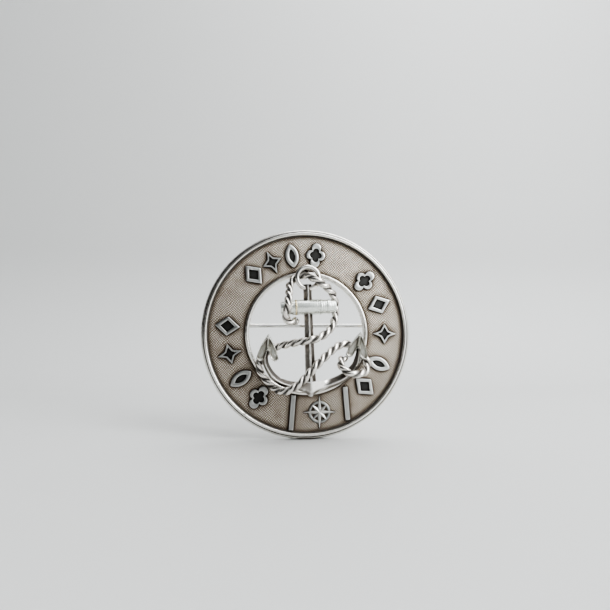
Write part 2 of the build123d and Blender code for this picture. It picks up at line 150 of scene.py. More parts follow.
def worn_silver(
    name, clean, tarnish, black, polish, dull, recess=1.0, tarnish_share=0.35, edge_light=0.5,
    lump=0.9, lump_height=0.012, scratch=0.35, brush=(1.0, 9.0, 1.0), ground=None,
    grime=(0.38, 0.76, 0.97), speck=0.7, lower_left_painted_shade=1.0,
):
    """Silver that was darkened and worn back: bright on what stands out, black where it is deep.

    A mesh may give at its points a mask of wear and painted highlight, which lightens, and one of
    soot and painted shade, which darkens; the lower left can be painted darker than the upper
    right, a painted shade for light that comes from the upper right."""
    metal = bpy.data.materials.new(name)
    metal.use_nodes = True
    tree = metal.node_tree
    shader = tree.nodes["Principled BSDF"]
    place = tree.nodes.new("ShaderNodeTexCoord").outputs["Object"]
    shelter = wire_up(tree, "ShaderNodeAmbientOcclusion", Distance=recess * MM)
    shelter.samples = 6
    deep = graded(tree, shelter.outputs["AO"], list(zip(grime, (1.0, 0.42, 0.0))))
    patches = cloudy(tree, place, 5.5 * MM, 4.0)
    specks = cloudy(tree, place, speck * MM, 4.0, 0.6)
    patchy = graded(tree, patches, [(0.38, 0.0), (0.68, 1.0)])
    speckled = graded(tree, specks, [(0.42, 0.0), (0.7, 1.0)])
    cover = summed(tree, "MULTIPLY", summed(tree, "MULTIPLY_ADD", patchy, 0.7, 0.3), speckled)
    tone = blended(tree, summed(tree, "MULTIPLY", cover, tarnish_share), clean, tarnish)
    browned = summed(tree, "MINIMUM", summed(tree, "MULTIPLY", deep, 1.6), 1.0)
    tone = blended(tree, browned, tone, tarnish)
    # Painted shade: the colour is darkened towards the lower left by place on the object, standing for
    # light that falls from the upper right.
    if lower_left_painted_shade < 1.0:
        toward = wire_up(tree, "ShaderNodeVectorMath", v0=place, v1=(0.75, 0.0, 0.66))
        toward.operation = "DOT_PRODUCT"
        painted_side_light = wire_up(
            tree, "ShaderNodeMapRange", Value=toward.outputs["Value"],
            From_Min=-12 * MM, From_Max=17 * MM, To_Min=lower_left_painted_shade, To_Max=1.0,
        )
        tone = blended(tree, 1.0, tone, painted_side_light.outputs[0], "MULTIPLY")
    sink = summed(tree, "POWER", deep, 1.7)
    height = summed(tree, "MULTIPLY", cloudy(tree, place, lump * MM, 2.0), lump_height * MM)
    if ground:
        low, stipple = ground(tree, place)
        tone = blended(tree, low, tone, tarnish)
        height = summed(tree, "ADD", height, stipple)
    # Masks read from the mesh: one of wear and painted highlight, one of soot and painted shade.
    wear_and_highlight, soot_and_shade_mask = (wire_up(tree, "ShaderNodeAttribute").outputs["Fac"] for _ in range(2))
    wear_and_highlight.node.attribute_name = "wear_and_highlight"
    soot_and_shade_mask.node.attribute_name = "soot_and_shade_mask"
    tone = blended(tree, sink, tone, black)
    tone = blended(tree, soot_and_shade_mask, tone, black)
    # Edges lighten by their sharpness as wear, and where the mesh's mask gives a painted highlight.
    crest = graded(
        tree, tree.nodes.new("ShaderNodeNewGeometry").outputs["Pointiness"], [(0.51, 0.0), (0.58, 1.0)]
    )
    crest = summed(tree, "MINIMUM", summed(tree, "ADD", crest, wear_and_highlight), 1.0)
    tone = blended(tree, summed(tree, "MULTIPLY", crest, edge_light), tone, (0.95, 0.94, 0.91))
    tree.links.new(tone, shader.inputs["Base Color"])
    shader.inputs["Metallic"].default_value = 1.0
    stretch = wire_up(tree, "ShaderNodeMapping", Vector=place, Rotation=(0.1, 0.15, 0.05), Scale=brush)
    rubbing = cloudy(tree, stretch.outputs["Vector"], 1.4 * MM, 5.0, 0.7)
    shine = wire_up(
        tree, "ShaderNodeMapRange", Value=rubbing, From_Min=0.3, From_Max=0.7, To_Min=polish, To_Max=dull
    ).outputs[0]
    shine = summed(tree, "MULTIPLY_ADD", wear_and_highlight, -0.08, shine)
    matt = summed(tree, "MULTIPLY", summed(tree, "MAXIMUM", deep, soot_and_shade_mask), 0.28)
    tree.links.new(summed(tree, "ADD", matt, shine), shader.inputs["Roughness"])
    height = summed(tree, "ADD", height, summed(tree, "MULTIPLY", rubbing, scratch * 0.01 * MM))
    relief = wire_up(tree, "ShaderNodeBump", Height=height, Strength=1.0, Distance=1.0)
    tree.links.new(relief.outputs["Normal"], shader.inputs["Normal"])
    return metal


def crossed_punch(tree, place):
    """The matting: small pyramids in crossed rows, uneven, with dark between them."""
    drift = wire_up(tree, "ShaderNodeTexNoise", Vector=place, Scale=1 / (2.4 * MM), Detail=2.0)
    push = wire_up(tree, "ShaderNodeVectorMath", v0=drift.outputs["Color"], v1=(0.0009, 0.0009, 0.0009))
    push.operation = "MULTIPLY"
    bent = wire_up(tree, "ShaderNodeVectorMath", v0=place, v1=push.outputs[0])
    bent.operation = "ADD"
    parts = wire_up(tree, "ShaderNodeSeparateXYZ", Vector=bent.outputs[0])
    turn = 2 * math.pi / MATTING_PITCH / math.sqrt(2)
    rows = []
    for sign in (1.0, -1.0):
        run = summed(tree, "MULTIPLY_ADD", parts.outputs["X"], sign, parts.outputs["Z"])
        wave = summed(tree, "SINE", summed(tree, "MULTIPLY", run, turn))
        rows.append(summed(tree, "MULTIPLY_ADD", wave, 0.5, 0.5))
    depth = wire_up(tree, "ShaderNodeSeparateXYZ", Vector=place).outputs["Y"]
    face_side = summed(tree, "LESS_THAN", depth, (plate_front + plate_back) / 2)
    knobs = summed(tree, "MULTIPLY", rows[0], rows[1])
    grit = cloudy(tree, place, 0.16 * MM, 3.0, 0.6)
    field = summed(tree, "MULTIPLY_ADD", grit, 0.7, knobs)
    low = graded(tree, field, [(0.38, 1.0), (0.66, 0.45), (0.9, 0.0)])
    low = summed(tree, "MULTIPLY", low, face_side)
    return low, summed(tree, "MULTIPLY", summed(tree, "MULTIPLY", field, face_side), 0.075 * MM)


def smoothed(mesh, angle=40.0):
    """Smooth shading that keeps the edges sharper than the angle."""
    mesh.polygons.foreach_set("use_smooth", [True] * len(mesh.polygons))
    mesh.set_sharp_from_angle(angle=math.radians(angle))
    mesh.update()


def made(
    name, points, faces, metal, stands_for=(), body="badge", angle=40.0,
    wear_and_highlight=None, soot_and_shade_mask=None,
):
    """A finished piece: mesh, material, the body it goes with and the CAD nodes it stands for."""
    mesh = bpy.data.meshes.new(name)
    mesh.from_pydata([tuple(p) for p in points], [], faces)
    # The mesh's masks of wear and painted highlight and of soot and painted shade are kept as point
    # attributes.
    for label, levels in (("wear_and_highlight", wear_and_highlight), ("soot_and_shade_mask", soot_and_shade_mask)):
        if levels:
            mesh.attributes.new(label, "FLOAT", "POINT").data.foreach_set("value", levels)
    tidy = bmesh.new()
    tidy.from_mesh(mesh)
    bmesh.ops.remove_doubles(tidy, verts=tidy.verts, dist=1e-7)
    bmesh.ops.recalc_face_normals(tidy, faces=tidy.faces)
    tidy.to_mesh(mesh)
    tidy.free()
    smoothed(mesh, angle)
    piece = bpy.data.objects.new(name, mesh)
    bpy.context.scene.collection.objects.link(piece)
    for one in metal if isinstance(metal, (list, tuple)) else [metal]:
        mesh.materials.append(one)
    if stands_for:
        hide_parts(*stands_for)
    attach(piece, body)
    return piece


def turned_ring(profile, steps, shape=None):
    """Points and faces of a closed profile of (radius, y) carried once round the Y axis."""
    points = []
    for step in range(steps):
        turn = 2 * math.pi * step / steps
        for index, (radius, y) in enumerate(profile):
            if shape:
                radius, y = shape(turn, index, radius, y)
            points.append((radius * math.sin(turn), y, radius * math.cos(turn)))
    rim = len(profile)
    faces = []
    for step in range(steps):
        here, there = step * rim, (step + 1) % steps * rim
        for index in range(rim):
            onward = (index + 1) % rim
            faces.append((here + index, here + onward, there + onward, there + index))
    return points, faces


plate_low, plate_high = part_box("ring_plate")
plate_front, plate_back = plate_low.y, plate_high.y
field_radius = plate_high.x
rim_low, rim_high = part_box("inner_rim")
wire_outer = rim_high.x
wire_crest = rim_low.y
OPENING_WIRE = 1.2 * MM
opening_radius = wire_outer - OPENING_WIRE

# The matted face is painted darker towards the lower left, a painted shade for light from the upper
# right.
matted = worn_silver(
    "matted_silver", clean=(0.93, 0.885, 0.80), tarnish=(0.17, 0.125, 0.085),
    black=(0.035, 0.026, 0.02), polish=0.28, dull=0.42, recess=1.5, tarnish_share=0.5,
    edge_light=0.15, lump=2.2,
    ground=crossed_punch, grime=(0.62, 0.86, 0.985), speck=2.6, lower_left_painted_shade=0.66,
)
rows = 44
face_profile = []
for row in range(rows + 1):
    face_profile.append((opening_radius + (field_radius - opening_radius) * row / rows, plate_front))
for row in range(9):
    face_profile.append((field_radius - (field_radius - opening_radius) * row / 8, plate_back))


def hand_flattened(turn, index, radius, y):
    """The sheet is never quite flat: long low swells across its face."""
    spot = Vector((radius * math.sin(turn), 0, radius * math.cos(turn))) / (6 * MM)
    return radius, y + PLATE_SWELL * noise.noise(spot) * (1 if 2 < index < rows - 2 else 0)


points, faces = turned_ring(face_profile, 300, hand_flattened)
made("matted_ring", points, faces, matted, ["ring_plate"])

# ---------------------------------------------------------------------------- rims
# The edge is a heavy drawn moulding, a bead inside a rounded shoulder, bent round and
# soldered to the plate.  The opening is edged with half-round wire.  Both are rubbed bright.
edge_low, edge_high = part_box("outer_rim")
badge_radius = edge_high.x
bead_crest = edge_low.y
BEAD = 0.46 * MM
SHOULDER_DROP, SHOULDER_FALL = 0.42 * MM, 0.95 * MM

polished = worn_silver(
    "polished_silver", clean=(0.86, 0.84, 0.80), tarnish=(0.42, 0.36, 0.29), black=(0.06, 0.05, 0.04),
    polish=0.14, dull=0.30, recess=0.7, tarnish_share=0.35, edge_light=0.5, lump=1.6, lump_height=0.02,
)
moulding, soot_and_shade = [(field_radius, 0.0)], [0.6]
for step in range(13):
    turn = math.pi * step / 12
    moulding.append((
        field_radius + BEAD * (1 - math.cos(turn)), bead_crest + BEAD - BEAD * math.sin(turn)
    ))
    soot_and_shade.append(0.75 * abs(math.cos(turn)) ** 4)
moulding.append((field_radius + 2 * BEAD + 0.03 * MM, bead_crest + 0.6 * MM))
soot_and_shade.append(0.9)
shoulder_r = badge_radius - field_radius - 2 * BEAD - 0.05 * MM
for step in range(1, 11):
    turn = math.pi / 2 * step / 10
    moulding.append((
        field_radius + 2 * BEAD + 0.05 * MM + shoulder_r * math.sin(turn),
        bead_crest + SHOULDER_DROP + SHOULDER_FALL * (1 - math.cos(turn)),
    ))
    soot_and_shade.append(max(0.0, 0.4 - 0.5 * step / 10))
moulding += [
    (badge_radius, -0.5 * MM), (badge_radius - 0.03 * MM, -0.2 * MM),
    (badge_radius - 0.14 * MM, -0.06 * MM), (badge_radius - 0.32 * MM, 0.0),
]
soot_and_shade += [0.0] * 4
NICK_TURN = math.radians(-141.5)


def knocked(turn, index, radius, y):
    """Long waves from bending by hand, small dents, and one nick in the bead."""
    lay = Vector((math.sin(turn) * 3.1, math.cos(turn) * 3.1, index * 0.05))
    dent = noise.noise(lay) * 0.045 * MM + noise.noise(lay * 7.3) * 0.018 * MM
    gap = (turn - NICK_TURN + math.pi) % (2 * math.pi) - math.pi
    nick = 0.22 * MM * math.exp(-(gap / math.radians(0.55)) ** 2)
    front = max(0.0, min(1.0, (-0.4 * MM - y) / (1.0 * MM)))
    return min(radius - abs(dent) * front, badge_radius), y + (dent * 0.5 + nick) * front


points, faces = turned_ring(moulding, 480, knocked)
made("edge_moulding", points, faces, polished, ["outer_rim"], soot_and_shade_mask=soot_and_shade * 480)

wire_middle = (opening_radius + wire_outer) / 2
half_wire = (wire_outer - opening_radius) / 2
wire_height = plate_front - wire_crest
wire_profile = []
for step in range(17):
    turn = math.pi * step / 16
    wire_profile.append((
        wire_middle - half_wire * math.cos(turn), plate_front - wire_height * math.sin(turn) ** 0.85
    ))


def hand_bent(turn, index, radius, y):
    """The inner wire wanders a little and is flattened here and there."""
    lay = Vector((math.sin(turn) * 2.3, math.cos(turn) * 2.3, 5.0))
    lift = max(0.0, min(1.0, (plate_front - y) / wire_height))
    wander = noise.noise(lay * 2) * 0.03 * MM * lift
    return radius + wander, y + abs(noise.noise(lay * 4)) * 0.05 * MM * lift


points, faces = turned_ring(wire_profile, 360, hand_bent)
made("opening_wire", points, faces, polished, ["inner_rim"])

# ---------------------------------------------------------------------------- border ornaments
# Thirteen cut-out motifs stand up from the matted field.  Each is sawn from sheet with an
# open slot, soldered down, and its flat top is stoned to a satin grey; the slots stay black.
# Pieces in this satin finish are painted darker towards the lower left, a painted shade for light from
# the upper right.
satin = worn_silver(
    "satin_silver", clean=(0.80, 0.81, 0.79), tarnish=(0.34, 0.29, 0.23), black=(0.02, 0.018, 0.016),
    polish=0.26, dull=0.42, recess=0.95, tarnish_share=0.3, edge_light=0.6, lump=1.8, lump_height=0.01,
    lower_left_painted_shade=0.42,
)
ORNAMENT_STROKE = 0.95 * MM


def stacked(rings):
    """Points and faces of rings of points joined one above another, closed at both ends."""
    count = len(rings[0])
    points = [p for ring in rings for p in ring]
    faces = []
    for level in range(len(rings) - 1):
        for index in range(count):
            onward = (index + 1) % count
            faces.append((
                level * count + index, level * count + onward,
                (level + 1) * count + onward, (level + 1) * count + index,
            ))
    last = (len(rings) - 1) * count
    faces.append(tuple(range(count))[::-1])
    faces.append(tuple(range(last, last + count)))
    return points, faces


def between(a, b, share):
    """The point that far along from a to b."""
    return tuple(p + (q - p) * share for p, q in zip(a, b))


def filled_out(corners, steps):
    """A closed polygon with every side cut into steps, its corners eased by hand filing."""
    line = []
    for index, corner in enumerate(corners):
        onward = corners[(index + 1) % len(corners)]
        line += [between(corner, onward, step / steps) for step in range(steps)]
    eased = []
    for index, point in enumerate(line):
        before, after = line[index - 1], line[(index + 1) % len(line)]
        eased.append(tuple(0.5 * p + 0.25 * (q + r) for p, q, r in zip(point, before, after)))
    return eased


def motif_line(kind, width, length):
    """The outline of one motif, centred, its long side upright."""
    if kind == "lozenge":
        return filled_out([(0, length / 2), (width / 2, 0), (0, -length / 2), (-width / 2, 0)], 16)
    if kind == "star":
        waist = width / 7
        corners = [
            (0, length / 2), (waist, waist * 1.4), (width / 2, 0), (waist, -waist * 1.4),
            (0, -length / 2), (-waist, -waist * 1.4), (-width / 2, 0), (-waist, waist * 1.4),
        ]
        return filled_out(corners, 8)
    if kind == "leaf":
        bow = (width * width / 4 + length * length / 4) / width
        reach = math.asin(length / 2 / bow)
        side = [
            (bow * math.cos(reach - 2 * reach * step / 32) - (bow - width / 2),
             bow * math.sin(reach - 2 * reach * step / 32)) for step in range(32)
        ]
        return filled_out(side + [(-x, -y) for x, y in side], 1)
    lobe = width / 4
    centres = [(0, length / 2 - lobe), (0, lobe - length / 2), (lobe, 0), (-lobe, 0)]
    line = []
    for step in range(96):
        turn = 2 * math.pi * step / 96
        along = Vector((math.sin(turn), math.cos(turn)))
        reach = min(
            lobe * 0.8 / max(abs(along.x), 1e-6), (length / 2 - lobe) / max(abs(along.y), 1e-6)
        )
        for centre in centres:
            middle = Vector(centre)
            onward = middle.dot(along)
            rest = lobe * lobe - (middle.length_squared - onward * onward)
            if rest > 0:
                reach = max(reach, onward + math.sqrt(rest))
        line.append((reach * along.x, reach * along.y))
    return line


ornament_nodes = sorted(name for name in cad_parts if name.startswith("border_"))
motif_widths = {"lozenge": 5.0 * MM, "leaf": 3.4 * MM, "star": 5.4 * MM, "quatrefoil": 5.0 * MM}
MOTIF_LENGTH = 6.4 * MM
for node in ornament_nodes:
    kind = node.split("_")[1]
    low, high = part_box(node)
    centre = (low + high) / 2
    turn = math.atan2(centre.x, centre.z)
    radius = math.hypot(centre.x, centre.z)
    wide = motif_widths[kind]
    outer = motif_line(kind, wide, MOTIF_LENGTH)
    inner = motif_line(kind, wide - 2 * ORNAMENT_STROKE, MOTIF_LENGTH - 3 * ORNAMENT_STROKE)
    rise = plate_front - low.y
    levels = [
        (0.0, -0.03 * MM), (0.0, rise * 0.72), (0.03, rise * 0.9), (0.12, rise),
        (0.45, rise + 0.015 * MM), (0.88, rise), (0.97, rise - 0.05 * MM), (1.0, rise - 0.3 * MM),
        (1.06, rise - 0.38 * MM),
    ]
    rings = []
    for share, lift in levels:
        ring = []
        for a, b in zip(outer, inner):
            x, up = between(a, b, share)
            ring.append((
                (radius + up) * math.sin(turn) + x * math.cos(turn),
                plate_front - lift,
                (radius + up) * math.cos(turn) - x * math.sin(turn),
            ))
        rings.append(ring)
    points, faces = stacked(rings)
    soot_and_shade = [level for level in (0.9, 0.7, 0.1, 0, 0, 0, 0.5, 0.95, 0.9) for _ in outer]
    made(
        f"motif_{kind}_{node[-2:]}", points, faces, satin, [node], angle=35,
        soot_and_shade_mask=soot_and_shade,
    )

# ---------------------------------------------------------------------------- compass panel
# At the foot two slanting bars part off a panel holding a compass star over a thin ring.
# The star is filed to ridges so that each of its points has a light and a dark side.
BAR_LEAN = math.radians(4.5)
BAR_WIDTH = 1.3 * MM
for node in ("panel_bar_left", "panel_bar_right"):
    low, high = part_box(node)
    side = -1 if node.endswith("left") else 1
    lean = BAR_LEAN * side
    centre = (low + high) / 2
    half_wide = BAR_WIDTH / 2
    half_long = ((high.z - low.z) / 2 - half_wide * abs(math.sin(lean))) / math.cos(lean)
    rings = []
    for inset, lift in ((0, -0.03), (0, 0.36), (0.05, 0.48), (0.14, 0.55), (0.5, 0.56)):
        a, b = half_wide - inset * MM, half_long - inset * MM
        corners = [(-a, b), (a, b), (a, -b), (-a, -b)]
        rings.append([
            (centre.x + x * math.cos(lean) - up * math.sin(lean), plate_front - lift * MM,
             centre.z + x * math.sin(lean) + up * math.cos(lean))
            for x, up in filled_out(corners, 14)
        ])
    points, faces = stacked(rings)
    name = node.replace("panel", "parting")
    made(name, points, faces, satin, [node], angle=35)

low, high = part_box("compass_ring")
compass_x, compass_z = (low.x + high.x) / 2, (low.z + high.z) / 2
compass_ring_radius = (high.x - low.x) / 2
HALF_BAND, BAND_HEIGHT = 0.4 * MM, 0.3 * MM
wire_round = []
for step in range(13):
    turn = math.pi * step / 12
    radius = compass_ring_radius - HALF_BAND - HALF_BAND * math.cos(turn)
    wire_round.append((radius, plate_front - BAND_HEIGHT * math.sin(turn)))
points, faces = turned_ring(wire_round, 96)
points = [(x + compass_x, y, z + compass_z) for x, y, z in points]
made("compass_band", points, faces, satin, ["compass_ring"])

low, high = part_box("compass_star")
star_reach = (high.x - low.x) / 2
STAR_PEAK = 0.62 * MM
SHORT_POINT, VALLEY = 0.62, 0.28
points, faces = [(compass_x, plate_front - STAR_PEAK, compass_z)], []
for step in range(16):
    share = VALLEY if step % 2 else (1.0 if step % 4 == 0 else SHORT_POINT)
    turn = math.radians(22.5 * step)
    x = compass_x + star_reach * share * math.sin(turn)
    z = compass_z + star_reach * share * math.cos(turn)
    crest = 0.2 * MM if step % 2 else 0.3 * MM
    points += [(x, plate_front - crest, z), (x, plate_front + 0.03 * MM, z)]
for step in range(16):
    a, b = 1 + 2 * step, 1 + 2 * ((step + 1) % 16)
    faces += [(0, a, b), (a, a + 1, b + 1, b)]
made("compass_points", points, faces, satin, ["compass_star"], angle=12)

# ---------------------------------------------------------------------------- anchor arms
# One casting: a crescent with a ridge filed along its front, and below it a pointed crown
# filed to two facets.  Its sloping faces, its back and the crown's left facet are painted dark
# as painted shade, and the ridge and the crown's right facet are painted bright as painted highlight.
ANCHOR_TILT = math.radians(2.0)
shank_low, shank_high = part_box("anchor_shank")
arms_low, arms_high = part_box("anchor_arms")
arms_front, arms_back = arms_low.y, arms_high.y
anchor_middle = (arms_front + arms_back) / 2
SHANK_FOOT, SHANK_SUNK = 3.0 * MM, 1.0 * MM
anchor_x = shank_high.x - SHANK_FOOT / 2 * math.cos(ANCHOR_TILT) - SHANK_SUNK * math.sin(ANCHOR_TILT)
anchor_z = shank_low.z + SHANK_FOOT / 2 * math.sin(ANCHOR_TILT) + SHANK_SUNK * math.cos(ANCHOR_TILT)


def on_anchor(across, up, y):
    """A point of the anchor: across and up in its own slightly leaning plane, in mm, at depth y."""
    return Vector((
        anchor_x + (across * math.cos(ANCHOR_TILT) - up * math.sin(ANCHOR_TILT)) * MM,
        y,
        anchor_z + (across * math.sin(ANCHOR_TILT) + up * math.cos(ANCHOR_TILT)) * MM,
    ))


def through(knots, steps):
    """Points of a smooth line through the knots, steps to each gap, the last knot included."""
    line = []
    for index in range(len(knots) - 1):
        a = Vector(knots[max(index - 1, 0)])
        b, c = Vector(knots[index]), Vector(knots[index + 1])
        d = Vector(knots[min(index + 2, len(knots) - 1)])
        for step in range(steps):
            s = step / steps
            bend, twist = 2 * a - 5 * b + 4 * c - d, 3 * b - a - 3 * c + d
            line.append((2 * b + (c - a) * s + bend * s * s + twist * s ** 3) / 2)
    line.append(Vector(knots[-1]))
    return line


anchor_metal = worn_silver(
    "anchor_silver", clean=(0.66, 0.62, 0.57), tarnish=(0.26, 0.20, 0.15),
    black=(0.026, 0.019, 0.016), polish=0.16, dull=0.34, recess=1.6, tarnish_share=0.5,
    edge_light=0.8, lump=1.3, lump_height=0.02,
)
below = through(
    [(-10.95, 7.3), (-12.0, 5.1), (-11.6, 2.9), (-10.0, 0.1), (-7.4, -1.9), (-3.4, -3.1)], 10
)
below += through([(-3.4, -3.1), (-1.7, -3.65), (-0.35, -4.6)], 7)[1:]
below += through([(0.35, -4.6), (1.7, -3.75), (3.2, -3.3)], 7)
below += through(
    [(3.2, -3.3), (7.0, -2.3), (10.2, -0.5), (12.3, 2.0), (13.1, 4.5), (12.9, 6.9)], 10
)[1:]
above = through(
    [(-10.3, 7.3), (-10.55, 5.2), (-10.0, 3.2), (-8.3, 0.9), (-5.6, -0.5), (-2.4, -0.95)], 10
)
above += through([(-2.4, -0.95), (-1.2, -1.0), (-0.2, -1.0)], 7)[1:]
above += through([(0.2, -1.0), (1.2, -1.0), (2.4, -0.95)], 7)
above += through(
    [(2.4, -0.95), (5.0, -0.5), (8.4, 0.9), (10.7, 2.9), (11.7, 4.9), (12.35, 6.95)], 10
)[1:]
CROWN_HALF, CROWN_EASE = 5.2, 1.8
CROWN_RISE, CROWN_SLOPE, CROWN_BEVEL = 1.34, 0.16, 0.3
rings, rub, soot_and_shade = [], [], []
deep = arms_back - arms_front
for index, (low_side, high_side) in enumerate(zip(below, above)):
    along = index / (len(below) - 1)
    crowned = math.exp(-((along - 0.5) / 0.09) ** 2)
    let_in = 0.62 + 0.38 * min(1.0, min(along, 1 - along) / 0.13)
    ring = []
    for step in range(17):
        s = step / 16
        ridge = 0.42 + 0.06 * crowned
        slope = s / ridge if s < ridge else (1 - s) / (1 - ridge)
        swell = (0.20 + 0.80 * slope ** (0.72 + 0.35 * crowned)) * let_in
        x, up = low_side.lerp(high_side, s)
        on_crown = min(1.0, max(0.0, (CROWN_HALF - abs(x)) / CROWN_EASE))
        above_bevel, right_facet = s > CROWN_BEVEL, x > 0.1
        facet = CROWN_RISE - CROWN_SLOPE * abs(x)
        facet *= 1.0 if above_bevel else 0.5 + 0.5 * s / CROWN_BEVEL
        swell += (facet - swell) * on_crown
        # Painted highlight along the ridge and on the crown's right facet; painted shade on the sloping
        # faces and the crown's left facet.
        lit = max(0.0, slope - 0.78) / 0.22 * (1 - on_crown)
        painted_facet_highlight = (0.95 if above_bevel else 0.4) if right_facet else 0.1
        rub.append(max(lit, on_crown * painted_facet_highlight))
        painted_face_shade = (0.75 * (1 - lit) * (1 - on_crown)) * (1 if s > ridge else 0.45)
        soot_and_shade.append(painted_face_shade + on_crown * (0.0 if right_facet else 0.3))
        worn = noise.noise(Vector((x * 0.9, up * 0.9, 3.0))) * 0.05 * MM * slope
        ring.append(on_anchor(x, up, arms_back - deep * swell + max(worn, 0)))
    # The back rows are painted dark, a painted shade where the arms face the plate.
    for s in (0.94, 0.8, 0.6, 0.4, 0.2, 0.06):
        x, up = low_side.lerp(high_side, s)
        ring.append(on_anchor(x, up, arms_back - 0.05 * deep * (1 if 0.1 < s < 0.9 else 2)))
        rub.append(0.0)
        soot_and_shade.append(0.4)
    rings.append(ring)
points, faces = stacked(rings)
made("crescent_arms", points, faces, anchor_metal, ["anchor_arms"], angle=48, wear_and_highlight=rub, soot_and_shade_mask=soot_and_shade)

# ---------------------------------------------------------------------------- shank
# A tapered bar filed to four flats on edge.  Its front edge is painted as a bright line, a painted
# highlight, and its flats are painted dark as painted shade.
SHANK_FOOT_UP, SHANK_HEAD_UP = -1.0, 23.7
FOOT_HALF_WIDE, HEAD_HALF_WIDE, FOOT_HALF_DEEP, HEAD_HALF_DEEP = 1.5, 1.15, 1.35, 1.1
rings, rub, soot_and_shade = [], [], []
for step in range(61):
    share = step / 60
    up = SHANK_FOOT_UP + (SHANK_HEAD_UP - SHANK_FOOT_UP) * share
    half_wide = FOOT_HALF_WIDE + (HEAD_HALF_WIDE - FOOT_HALF_WIDE) * share
    half_wide *= 1 - 0.06 * math.sin(math.pi * share)
    half_deep = FOOT_HALF_DEEP + (HEAD_HALF_DEEP - FOOT_HALF_DEEP) * share
    ring = []
    for corner in range(4):
        turn = math.pi / 2 * corner
        for ease in (-0.16, -0.08, 0.0, 0.08, 0.16, 0.33, 0.5, 0.67, 0.84):
            if ease < 0.2:
                round_off = 0.93 - 0.9 * ease * ease
                x = math.sin(turn) * round_off + math.cos(turn) * ease * 0.9
                y = math.cos(turn) * round_off - math.sin(turn) * ease * 0.9
            else:
                onward = turn + math.pi / 2
                x = math.sin(turn) * (1 - ease) + math.sin(onward) * ease
                y = math.cos(turn) * (1 - ease) + math.cos(onward) * ease
                x, y = x * 0.97, y * 0.97
            # Painted highlight on the front edge, painted shade on the flats.
            rub.append(1.0 if ease < 0.2 and corner == 0 else 0.0)
            soot_and_shade.append(0.0 if ease < 0.2 else (0.55 if corner else 0.72))
            knock = noise.noise(Vector((x * 2 + corner, y * 2, up * 0.8))) * 0.05
            forward = y * (half_deep + knock) * MM
            ring.append(on_anchor(x * (half_wide + knock), up, anchor_middle - forward))
    rings.append(ring)
points, faces = stacked(rings)
made("tapered_shank", points, faces, anchor_metal, ["anchor_shank"], angle=30, wear_and_highlight=rub, soot_and_shade_mask=soot_and_shade)

# ---------------------------------------------------------------------------- palms
# Two leaf-shaped palms slotted over the arm ends.  Each lobe is hollowed inside a raised
# border, and the arm runs on up the middle as a rib that dies away at the tip.
PALM_HALF, PALM_LONG, PALM_SHOULDER = 2.85, 7.0, 2.5
# The foot of the palm in mm: place across, height above the barbs.
PALM_FOOT = [
    (0, 2.8), (0.4, 2.4), (0.7, 1.3), (1.0, 0.55), (1.4, 0.1), (1.9, 0.0), (2.45, 0.2), (2.85, 0.8),
]
RIB_FOOT, RIB_RISE = 1.5, 1.34
palm_metal = worn_silver(
    "palm_silver", clean=(0.72, 0.735, 0.70), tarnish=(0.36, 0.32, 0.25), black=(0.035, 0.03, 0.025),
    polish=0.22, dull=0.36, recess=1.1, tarnish_share=0.35, edge_light=0.8, lump=1.4, lump_height=0.012,
)


def stepped(value, knots):
    """Straight-line reading of a short table of (place, level)."""
    for (a, low), (b, high) in zip(knots, knots[1:]):
        if value <= b:
            return low + (high - low) * (value - a) / (b - a)
    return knots[-1][1]


def palm_reach(x):
    """Height of the palm's outer edge over a place across it."""
    low, high = 0.0, 1.0
    for _ in range(30):
        t = (low + high) / 2
        if (1 - t) ** 2 * PALM_HALF + 2 * t * (1 - t) * PALM_SHOULDER > abs(x):
            low = t
        else:
            high = t
    return 2 * low * (1 - low) * PALM_LONG / 2 + low * low * PALM_LONG


